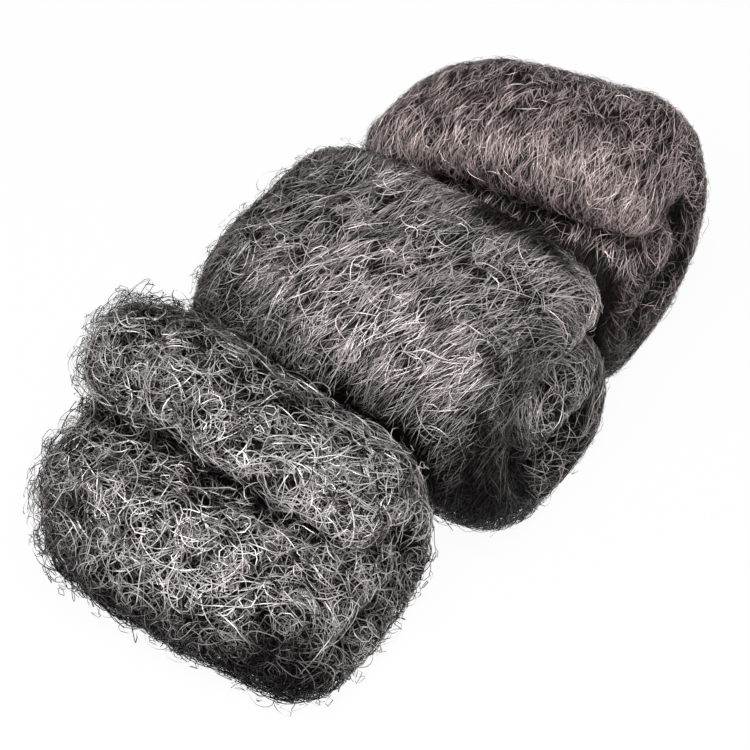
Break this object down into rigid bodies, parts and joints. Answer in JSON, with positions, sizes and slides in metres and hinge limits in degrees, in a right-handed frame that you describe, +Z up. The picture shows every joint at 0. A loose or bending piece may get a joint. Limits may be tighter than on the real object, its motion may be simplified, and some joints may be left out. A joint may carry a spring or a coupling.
{
  "type": "steel wool bundle",
  "caption": "Bundle of rolled steel wool pads in coarse, medium and fine grades, lying in a row, for scouring, polishing and paint stripping.",
  "frame": {"origin": "on the floor, under the middle of the medium pad", "axes": "+X along the width of the rolled ribbons, +Y along the row from the coarse pad to the fine one, +Z up"},
  "size_m": [0.1349, 0.2636, 0.0808],
  "materials": {
    "coarse_wool": "coarse curly steel fibres, grey",
    "medium_wool": "medium combed steel fibres, grey",
    "fine_wool": "fine short steel fibres, dark warm grey"
  },
  "bodies": {
    "root": {"coarse_pad": "coarse_wool", "medium_pad": "medium_wool", "fine_pad": "fine_wool"}
  },
  "joints": []
}
